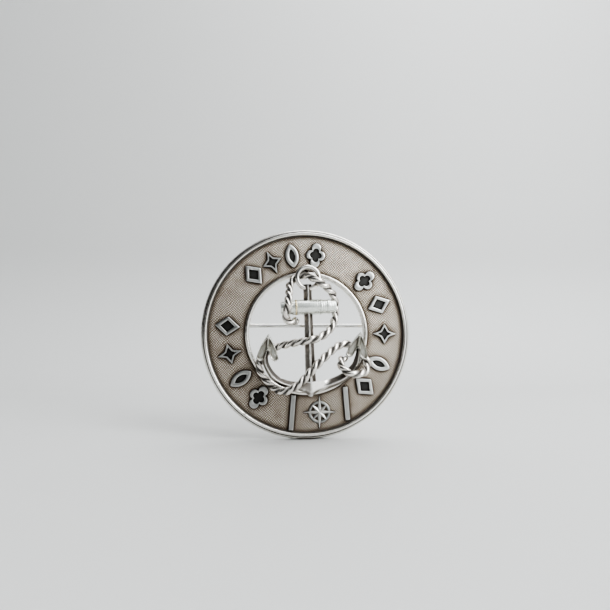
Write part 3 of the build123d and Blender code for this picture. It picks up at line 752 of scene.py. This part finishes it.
def palm(name, node, across, up, lean, seed):
    """One palm at the end of its arm, its tip leaning clockwise."""
    lean = math.radians(lean)
    columns, rows = 56, 40
    fronts, backs, rub, soot_and_shade = [], [], [], []
    for column in range(columns + 1):
        v = -1 + 2 * column / columns
        x = PALM_HALF * math.sin(v * math.pi / 2) * 0.35 + PALM_HALF * v * 0.65
        bottom = stepped(abs(x), PALM_FOOT)
        top = palm_reach(x) + 0.42 * (abs(x) / PALM_HALF) ** 6
        for row in range(rows + 1):
            share = row / rows
            y = bottom + (top - bottom) * share
            edge = min((top - y) * 0.44, (y - bottom) * 0.75)
            border = math.exp(-((edge - 0.22) / 0.15) ** 2)
            lift = 0.24 + 0.52 * border
            rib_wide = 0.30 + 0.42 * (1 - y / PALM_LONG)
            rib = RIB_RISE * (1 - (y - RIB_FOOT) / (PALM_LONG - RIB_FOOT) * 0.72)
            ribbed = max(0.0, 1 - (abs(x) / rib_wide) ** 1.25)
            lift += rib * ribbed * min(1.0, (top - y) / 0.7)
            # The border and the rib are painted bright as painted highlight, and the lobes a little
            # darker as painted shade.
            rub.append(max(border, ribbed ** 2))
            soot_and_shade.append(0.05 * min(1.0, max(0.0, edge - 0.3) * 4) * (1 - ribbed))
            lift += noise.noise(Vector((x * 1.6 + seed, y * 1.6, seed))) * 0.03
            place = (
                across + x * math.cos(lean) + y * math.sin(lean),
                up - x * math.sin(lean) + y * math.cos(lean),
            )
            fronts.append(on_anchor(*place, max(arms_back - lift * MM, arms_front)))
            backs.append(on_anchor(*place, arms_back + 0.12 * MM * min(edge, 0.4)))
    points = fronts + backs
    shift = len(fronts)
    faces = []
    for column in range(columns):
        for row in range(rows):
            a = column * (rows + 1) + row
            b = a + rows + 1
            faces += [(a, a + 1, b + 1, b), (a + shift, b + shift, b + 1 + shift, a + 1 + shift)]
        for row, flip in ((0, 1), (rows, 0)):
            a = column * (rows + 1) + row
            b = a + rows + 1
            faces.append((a, b, b + shift, a + shift) if flip else (b, a, a + shift, b + shift))
    # The back is painted darker as painted shade.
    made(
        name, points, faces, palm_metal, [node], angle=50,
        wear_and_highlight=rub + [0.0] * shift, soot_and_shade_mask=soot_and_shade + [0.3] * shift,
    )


palm("palm_left", "left_fluke", -10.75, 4.45, 4.0, 1.0)
palm("palm_right", "right_fluke", 12.0, 4.3, 12.0, 4.0)

# ---------------------------------------------------------------------------- stock
# The stock is a turned barrel of silver let over the shank, burnished, with three fine
# grooves cut in its right half and four hoops; the inner left hoop has worn to a brassy tone.
STOCK_UP = 17.85
STOCK_SHIFT = 0.1
STOCK_HALF = 7.1
BARREL_MIDDLE, BARREL_END = 2.0, 1.5
GROOVES, GROOVE_DEPTH = (2.35, 4.05, 6.3), 0.035
HOOP_RISE = 0.16
bright = worn_silver(
    "bright_silver", clean=(0.84, 0.865, 0.82), tarnish=(0.46, 0.45, 0.38), black=(0.06, 0.05, 0.04),
    polish=0.22, dull=0.36, recess=0.5, tarnish_share=0.22, edge_light=0.4, lump=1.2, lump_height=0.008,
    scratch=0.8, brush=(14.0, 1.0, 1.0),
)
brassy = worn_silver(
    "brassy_silver", clean=(0.80, 0.70, 0.46), tarnish=(0.40, 0.29, 0.14), black=(0.06, 0.045, 0.03),
    polish=0.22, dull=0.36, recess=0.5, tarnish_share=0.4, edge_light=0.5, lump=1.0, lump_height=0.01,
)


def across_anchor(profile, steps, up, shift):
    """Points and faces of a profile of (place across, radius) turned about the stock's axis."""
    rings = []
    for place, radius in profile:
        ring = []
        for step in range(steps):
            turn = 2 * math.pi * step / steps
            forward = radius * math.cos(turn) * MM
            ring.append(on_anchor(shift + place, up + radius * math.sin(turn), anchor_middle - forward))
        rings.append(ring)
    return stacked(rings)


def barrel(place):
    """Radius of the barrel, in mm, that far from its middle."""
    return BARREL_MIDDLE - (BARREL_MIDDLE - BARREL_END) * (place / STOCK_HALF) ** 2


profile = [(-STOCK_HALF - 0.02, 0.4), (-STOCK_HALF, 1.1), (-STOCK_HALF + 0.03, 1.37)]
for step in range(141):
    place = -STOCK_HALF + 0.12 + (2 * STOCK_HALF - 0.24) * step / 140
    groove = sum(GROOVE_DEPTH * math.exp(-((place - cut) / 0.07) ** 2) for cut in GROOVES)
    profile.append((place, barrel(place) - groove))
profile += [(STOCK_HALF - 0.03, 1.37), (STOCK_HALF, 1.1), (STOCK_HALF + 0.02, 0.4)]
points, faces = across_anchor(profile, 72, STOCK_UP, STOCK_SHIFT)
made("turned_stock", points, faces, bright, ["anchor_stock"], angle=32)
for node, centre, width, metal in (
    ("stock_hoop_far_left", -5.2, 1.1, bright), ("stock_hoop_left", -3.2, 0.5, brassy),
    ("stock_hoop_right", 3.2, 0.5, bright), ("stock_hoop_far_right", 5.2, 1.1, bright),
):
    profile = []
    for step in range(15):
        turn = math.pi * step / 14
        place = centre - width / 2 * math.cos(turn)
        dip = 0.03 * math.exp(-((place - centre) / 0.1) ** 2) if width > 1 else 0
        profile.append((place, barrel(place) - 0.05 + HOOP_RISE * math.sin(turn) ** 0.6 - dip))
    points, faces = across_anchor(profile, 72, STOCK_UP, STOCK_SHIFT)
    made(node.replace("stock_hoop", "band"), points, faces, metal, [node])

# ---------------------------------------------------------------------------- ring and posts
# A ring of round wire is soldered to the head of the shank.  Two short posts, each in a
# puddle of solder, hold the whole anchor clear of the plate.
ring_low, ring_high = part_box("anchor_ring")
ring_centre = (ring_low + ring_high) / 2
WIRE = 0.62 * MM
RING_STEPS, WIRE_SIDES = 120, 24
ring_major = (ring_high.x - ring_low.x) / 2 - WIRE
points, faces, soot_and_shade = [], [], []
for step in range(RING_STEPS):
    turn = 2 * math.pi * step / RING_STEPS
    lay = Vector((math.sin(turn) * 1.7, math.cos(turn) * 1.7, 9.0))
    major = ring_major + noise.noise(lay) * 0.05 * MM
    thick = WIRE * (1 - 0.05 * abs(noise.noise(lay * 2.7)))
    for side in range(WIRE_SIDES):
        roll = 2 * math.pi * side / WIRE_SIDES
        radius = major + thick * math.cos(roll)
        # The inner side of the wire, facing the ring's middle, is painted dark as painted shade.
        soot_and_shade.append(max(0.0, -0.15 - 0.6 * math.cos(roll)))
        points.append((
            ring_centre.x + radius * math.sin(turn), ring_centre.y + thick * math.sin(roll),
            ring_centre.z + radius * math.cos(turn),
        ))
for step in range(RING_STEPS):
    here, there = step * WIRE_SIDES, (step + 1) % RING_STEPS * WIRE_SIDES
    for side in range(WIRE_SIDES):
        onward = (side + 1) % WIRE_SIDES
        faces.append((here + side, here + onward, there + onward, there + side))
made("head_ring", points, faces, polished, ["anchor_ring"], soot_and_shade_mask=soot_and_shade)


def upright(profile, x, z, wander):
    """A round piece standing on the plate: profile of (radius, y) about a line along Y."""
    rings = []
    for radius, y in profile:
        ring = []
        for step in range(32):
            turn = 2 * math.pi * step / 32
            ripple = 1 + wander * noise.noise(Vector((math.sin(turn) * 2, math.cos(turn) * 2, y / MM)))
            ring.append((x + radius * ripple * math.sin(turn), y, z + radius * ripple * math.cos(turn)))
        rings.append(ring)
    return stacked(rings)


for node, end in (("head_post", ring_centre.y + 0.35 * MM), ("crown_post", arms_back - 0.2 * MM)):
    low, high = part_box(node)
    x, z = (low.x + high.x) / 2, (low.z + high.z) / 2
    radius = (high.x - low.x) / 2
    profile = [
        (radius * 1.75, plate_front + 0.02 * MM), (radius * 1.5, plate_front - 0.07 * MM),
        (radius * 1.15, plate_front - 0.25 * MM), (radius, plate_front - 0.6 * MM),
        (radius * 0.98, (plate_front + end) / 2), (radius, end + 0.35 * MM),
        (radius * 1.15, end + 0.12 * MM), (radius * 1.2, end),
    ]
    points, faces = upright(profile, x, z, 0.12)
    made(node.replace("post", "stud"), points, faces, anchor_metal, [node])

# ---------------------------------------------------------------------------- rope
# The rope is two silver wires twisted together left-handed, bent through the ring, across
# the shank, behind one arm and round the other, and soldered where it touches.  Its grooves
# are blackened.
rope_metal = worn_silver(
    "rope_silver", clean=(0.66, 0.60, 0.53), tarnish=(0.28, 0.205, 0.145), black=(0.028, 0.02, 0.016),
    polish=0.18, dull=0.36, recess=0.9, tarnish_share=0.45, edge_light=0.55, lump=0.8, lump_height=0.02,
)
STRAND, LAY, TURN_LENGTH = 0.60 * MM, 0.50 * MM, 5.3 * MM
STRAND_SIDES = 14
END_TAPER = 0.9 * MM
# Where the rope runs, in mm: across, out from the plate, up.
rope_route = [
    (-2.4, 2.6, 3.6), (-3.7, 3.6, 2.7), (-5.1, 4.7, 2.9), (-5.95, 6.1, 4.3),
    (-5.3, 7.1, 6.2), (-5.2, 7.0, 8.2), (-4.9, 4.6, 10.3), (-4.7, 2.4, 12.6),
    (-3.0, 2.0, 14.6), (-0.6, 3.2, 14.9), (1.2, 5.2, 14.0), (2.9, 5.6, 12.9),
    (4.7, 4.4, 11.8), (6.3, 2.9, 10.6), (7.2, 1.7, 8.9), (7.5, 1.2, 6.6),
    (7.3, 1.7, 4.4), (6.7, 3.0, 2.7), (5.7, 4.3, 1.1), (4.2, 5.4, -0.3),
    (2.3, 6.1, -1.3), (0.3, 6.3, -1.8), (-2.2, 5.3, -2.3), (-4.7, 3.7, -2.8),
    (-7.1, 2.2, -3.3), (-9.4, 1.8, -4.1), (-11.5, 1.85, -5.8), (-12.6, 1.9, -8.2),
    (-11.8, 1.9, -10.5), (-10.2, 2.1, -12.4), (-8.5, 3.1, -14.1), (-6.4, 5.3, -14.8),
    (-4.2, 6.2, -13.9), (-2.2, 6.4, -12.4), (-0.8, 6.4, -11.0), (0.7, 6.4, -9.3),
    (2.3, 6.0, -7.6), (3.9, 5.3, -6.2), (5.5, 4.4, -4.8), (7.1, 3.3, -3.7),
    (8.9, 2.3, -2.8), (11.2, 1.8, -2.8), (13.8, 1.8, -4.5), (15.6, 1.8, -6.7),
    (15.5, 2.6, -8.9), (14.1, 4.6, -10.1), (12.0, 6.0, -10.4), (10.0, 6.2, -10.0),
    (8.4, 5.3, -8.9), (8.1, 4.1, -7.4), (9.0, 3.0, -6.3), (10.3, 1.9, -7.0),
]
run = bpy.data.curves.new("rope_middle", "CURVE")
run.dimensions = "3D"
run.resolution_u = 16
spline = run.splines.new("NURBS")
spline.points.add(len(rope_route) - 1)
for knot, (x, out, z) in zip(spline.points, rope_route):
    knot.co = (x * MM, plate_front - out * MM, z * MM, 1.0)
spline.order_u = 3
spline.use_endpoint_u = True
run_object = bpy.data.objects.new("rope_middle", run)
run_mesh = bpy.data.meshes.new_from_object(run_object)
middle_line = [vertex.co.copy() for vertex in run_mesh.vertices]
bpy.data.objects.remove(run_object)
bpy.data.curves.remove(run)
bpy.data.meshes.remove(run_mesh)


def laid_wire(line, phase, seed):
    """One wire of the rope, wound round the line and swept with a round section."""
    travelled, side = 0.0, None
    rings = []
    for index, place in enumerate(line):
        ahead, behind = line[min(index + 1, len(line) - 1)], line[max(index - 1, 0)]
        run = (ahead - behind).normalized()
        if side is None:
            side = run.orthogonal().normalized()
        side = (side - run * side.dot(run)).normalized()
        other = run.cross(side)
        travelled += (place - behind).length
        turn = phase - 2 * math.pi * travelled / TURN_LENGTH
        out = side * math.cos(turn) + other * math.sin(turn)
        slide = (side * math.sin(turn) - other * math.cos(turn)) * (2 * math.pi * LAY / TURN_LENGTH)
        heading = (run + slide).normalized()
        up = (out - heading * out.dot(heading)).normalized()
        beside = heading.cross(up)
        squeeze = 1 + 0.08 * noise.noise(Vector((travelled * 420, seed, 0.5)))
        to_end = min((place - line[0]).length, (place - line[-1]).length) / END_TAPER
        squeeze *= math.sqrt(min(1.0, to_end + 0.03))
        apart = LAY * min(1.0, 0.45 + 0.55 * to_end)
        ring = []
        for step in range(STRAND_SIDES):
            roll = 2 * math.pi * step / STRAND_SIDES
            rub = 1 - 0.10 * max(0.0, math.cos(roll)) ** 4
            round_it = up * math.cos(roll) * rub + beside * math.sin(roll)
            ring.append(place + out * apart + round_it * STRAND * squeeze)
        rings.append(ring)
    return rings


rope_points, rope_faces, rub, soot_and_shade = [], [], [], []
for phase, seed in ((0.4, 1.0), (0.4 + math.pi, 7.0)):
    points, faces = stacked(laid_wire(middle_line, phase, seed))
    rope_faces += [tuple(i + len(rope_points) for i in face) for face in faces]
    rope_points += points
    for index in range(len(points)):
        outward = math.cos(2 * math.pi * (index % STRAND_SIDES) / STRAND_SIDES)
        rub.append(max(0.0, outward) ** 3)
        soot_and_shade.append(max(0.0, min(1.0, (0.45 - outward) / 0.5)))
made(
    "twisted_rope", rope_points, rope_faces, rope_metal, ["rope"], angle=60,
    wear_and_highlight=rub, soot_and_shade_mask=soot_and_shade,
)

# ---------------------------------------------------------------------------- hinge
# Behind, a small square plate carries two ears; the pin's eye turns between them on a
# riveted wire.  All of it is soldered in place and left as it came from the torch.
plain = worn_silver(
    "plain_silver", clean=(0.70, 0.68, 0.64), tarnish=(0.38, 0.32, 0.26), black=(0.05, 0.04, 0.032),
    polish=0.24, dull=0.40, recess=0.8, tarnish_share=0.6, edge_light=0.6, lump=1.1, lump_height=0.015,
)


def eased_square(half, corner):
    """Outline of a square with round corners, centred."""
    line = []
    for quarter in range(4):
        turn = math.pi / 2 * quarter
        for step in range(7):
            roll = turn + math.pi / 2 * step / 6
            x = (half - corner) * (1 if quarter in (0, 3) else -1) + corner * math.cos(roll)
            z = (half - corner) * (1 if quarter in (0, 1) else -1) + corner * math.sin(roll)
            line.append((x, z))
    return line


PAD_CORNER = 0.7 * MM
for node in ("hinge_base", "catch_base"):
    low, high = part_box(node)
    x, z = (low.x + high.x) / 2, (low.z + high.z) / 2
    half = (high.x - low.x) / 2
    rings = []
    for grow, y in ((0.34, 0.0), (0.2, 0.09), (0.06, 0.2), (0.0, 0.34), (-0.05, 0.44), (-0.16, 0.5)):
        ring = []
        in_solder = 1 if grow > 0.05 else 0.1
        for a, b in eased_square(half + grow * MM, PAD_CORNER):
            ripple = noise.noise(Vector((a * 900, b * 900, y))) * 0.12 * MM * in_solder
            ring.append((x + a + ripple, low.y + y * MM, z + b + ripple))
        rings.append(ring)
    points, faces = stacked(rings)
    made(node.replace("base", "pad"), points, faces, plain, [node])

FILED_EDGE = 0.07 * MM
for node in (
    "hinge_ear_upper", "hinge_ear_lower", "hinge_rivet", "catch_cheek_inner", "catch_cheek_outer",
    "catch_roller",
):
    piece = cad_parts[node]
    piece.data.materials.clear()
    piece.data.materials.append(polished if node in ("hinge_rivet", "catch_roller") else plain)
    eased = piece.modifiers.new("eased", "BEVEL")
    eased.width = FILED_EDGE
    eased.segments = 3
    eased.limit_method = "ANGLE"
    eased.angle_limit = math.radians(40)

# ---------------------------------------------------------------------------- pin
# A length of hard-drawn wire, beaten to an eye at the hinge and drawn to a point at the
# other end.  It is bright from use.
pin_low, pin_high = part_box("pin_stem")
hinge_low, hinge_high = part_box("hinge_rivet")
hinge_x = (hinge_low.x + hinge_high.x) / 2
pin_y = (hinge_low.y + hinge_high.y) / 2
pin_z = (hinge_low.z + hinge_high.z) / 2
PIN_RADIUS, POINT_LENGTH, POINT_BLUNTNESS = 0.55 * MM, 5.2 * MM, 0.006
PIN_SIDES = 24
drawn = worn_silver(
    "drawn_wire", clean=(0.86, 0.855, 0.84), tarnish=(0.50, 0.46, 0.40), black=(0.08, 0.07, 0.06),
    polish=0.10, dull=0.24, recess=0.4, tarnish_share=0.3, edge_light=0.3, lump=1.8, lump_height=0.012,
)
eye_radius = hinge_x - pin_low.x
# The wire's root beside the eye, in mm: distance from the rivet, radius.
ROOT = [
    (0.55, 0.44), (0.75, 0.50), (0.9, 0.50), (1.05, 0.49), (1.3, 0.50), (1.7, 0.53), (2.35, 0.55),
]
wire = [(hinge_x + along * MM, radius * MM) for along, radius in ROOT]
straight_start, straight_end = wire[-1][0], pin_high.x - POINT_LENGTH
for step in range(1, 61):
    share = step / 60
    x = straight_start + (straight_end - straight_start) * share
    wire.append((x, PIN_RADIUS * (1 - 0.012 * abs(noise.noise(Vector((x * 300, 0.3, 0.7)))))))
for step in range(1, 25):
    share = step / 24
    radius = PIN_RADIUS * math.sqrt(max(1 - share ** 1.6, POINT_BLUNTNESS))
    wire.append((straight_end + (pin_high.x - straight_end) * share, radius))
rings = []
turns = [2 * math.pi * side / PIN_SIDES for side in range(PIN_SIDES)]
for x, radius in wire:
    rings.append([
        (x, pin_y + radius * math.cos(turn), pin_z + radius * math.sin(turn)) for turn in turns
    ])
points, faces = stacked(rings)
EYE_HALF, EYE_BORE, BORE_EASE = 0.70 * MM, 0.45 * MM, 0.08 * MM
eye_side = [
    (EYE_BORE + BORE_EASE, EYE_HALF), (eye_radius - 0.12 * MM, EYE_HALF),
    (eye_radius - 0.03 * MM, EYE_HALF - 0.04 * MM), (eye_radius, EYE_HALF - 0.14 * MM),
]
eye_profile = [(radius, -y) for radius, y in eye_side] + eye_side[::-1]
eye_profile += [(EYE_BORE, EYE_HALF - BORE_EASE), (EYE_BORE, -EYE_HALF + BORE_EASE)]
eye_points, eye_faces = turned_ring(eye_profile, 48)
faces += [tuple(i + len(points) for i in face) for face in eye_faces]
points += [(hinge_x + x, pin_y + z, pin_z + y) for x, y, z in eye_points]
made("bright_pin", points, faces, drawn, ["pin_stem"], body="pin")

# ---------------------------------------------------------------------------- stage
# A pale painted sill that sweeps up into a pale wall well behind the badge.
floor_z = cad_low.z
SILL_NEAR, SILL_FAR, SWEEP, WALL_TOP, HALF_WIDTH = -3.0, 0.10, 0.08, 3.0, 4.0
paint = bpy.data.materials.new("pale_paint")
paint.use_nodes = True
painted = paint.node_tree.nodes["Principled BSDF"]
painted.inputs["Base Color"].default_value = grounded((0.66, 0.66, 0.65))
painted.inputs["Roughness"].default_value = 0.55
sweep = [(SILL_NEAR, floor_z), (SILL_FAR, floor_z)]
for step in range(1, 17):
    turn = math.pi / 2 * step / 16
    sweep.append((SILL_FAR + SWEEP * math.sin(turn), floor_z + SWEEP * (1 - math.cos(turn))))
sweep.append((SILL_FAR + SWEEP, WALL_TOP))
points = [(x, y, z) for y, z in sweep for x in (-HALF_WIDTH, HALF_WIDTH)]
faces = [(2 * i, 2 * i + 1, 2 * i + 3, 2 * i + 2) for i in range(len(sweep) - 1)]
mesh = bpy.data.meshes.new("sill_and_wall")
mesh.from_pydata(points, [], faces)
smoothed(mesh)
mesh.materials.append(paint)
sill = bpy.data.objects.new("sill_and_wall", mesh)
bpy.context.scene.collection.objects.link(sill)

# Soft daylight from a window to the right, with a dim room on the other side.
WINDOW_SIDE = Vector((0.78, -0.34, 0.52)).normalized()
ROOM_STRENGTH = 1.35
room = bpy.data.worlds.new("soft_room")
bpy.context.scene.world = room
room.use_nodes = True
tree = room.node_tree
way = tree.nodes.new("ShaderNodeTexCoord").outputs["Generated"]
toward = wire_up(tree, "ShaderNodeVectorMath", v0=way, v1=WINDOW_SIDE)
toward.operation = "DOT_PRODUCT"
facing = summed(tree, "MULTIPLY_ADD", toward.outputs["Value"], 0.5, 0.5)
brightness = graded(tree, facing, [(0.25, 0.06), (0.58, 0.07), (0.66, 0.13), (0.79, 0.44), (0.97, 1.0)])
backing = tree.nodes["Background"]
backing.inputs["Color"].default_value = grounded((0.95, 0.98, 1.0))
tree.links.new(summed(tree, "MULTIPLY", brightness, ROOM_STRENGTH), backing.inputs["Strength"])


def soft_light(name, where, at, wide, high, power, tint):
    """A large rectangular light aimed at a point."""
    lamp = bpy.data.lights.new(name, "AREA")
    lamp.shape = "RECTANGLE"
    lamp.size, lamp.size_y = wide, high
    lamp.energy = power
    lamp.color = tint
    thing = bpy.data.objects.new(name, lamp)
    thing.location = where
    thing.rotation_mode = "QUATERNION"
    thing.rotation_quaternion = (Vector(at) - Vector(where)).to_track_quat("-Z", "Y")
    bpy.context.scene.collection.objects.link(thing)


soft_light("window", (0.34, -0.30, 0.26), (0, 0, 0), 0.22, 0.42, 1.7, (0.97, 0.99, 1.0))
soft_light("skylight", (0.12, 0.06, 0.46), (0, 0, 0), 0.4, 0.4, 1.5, (0.96, 0.98, 1.0))
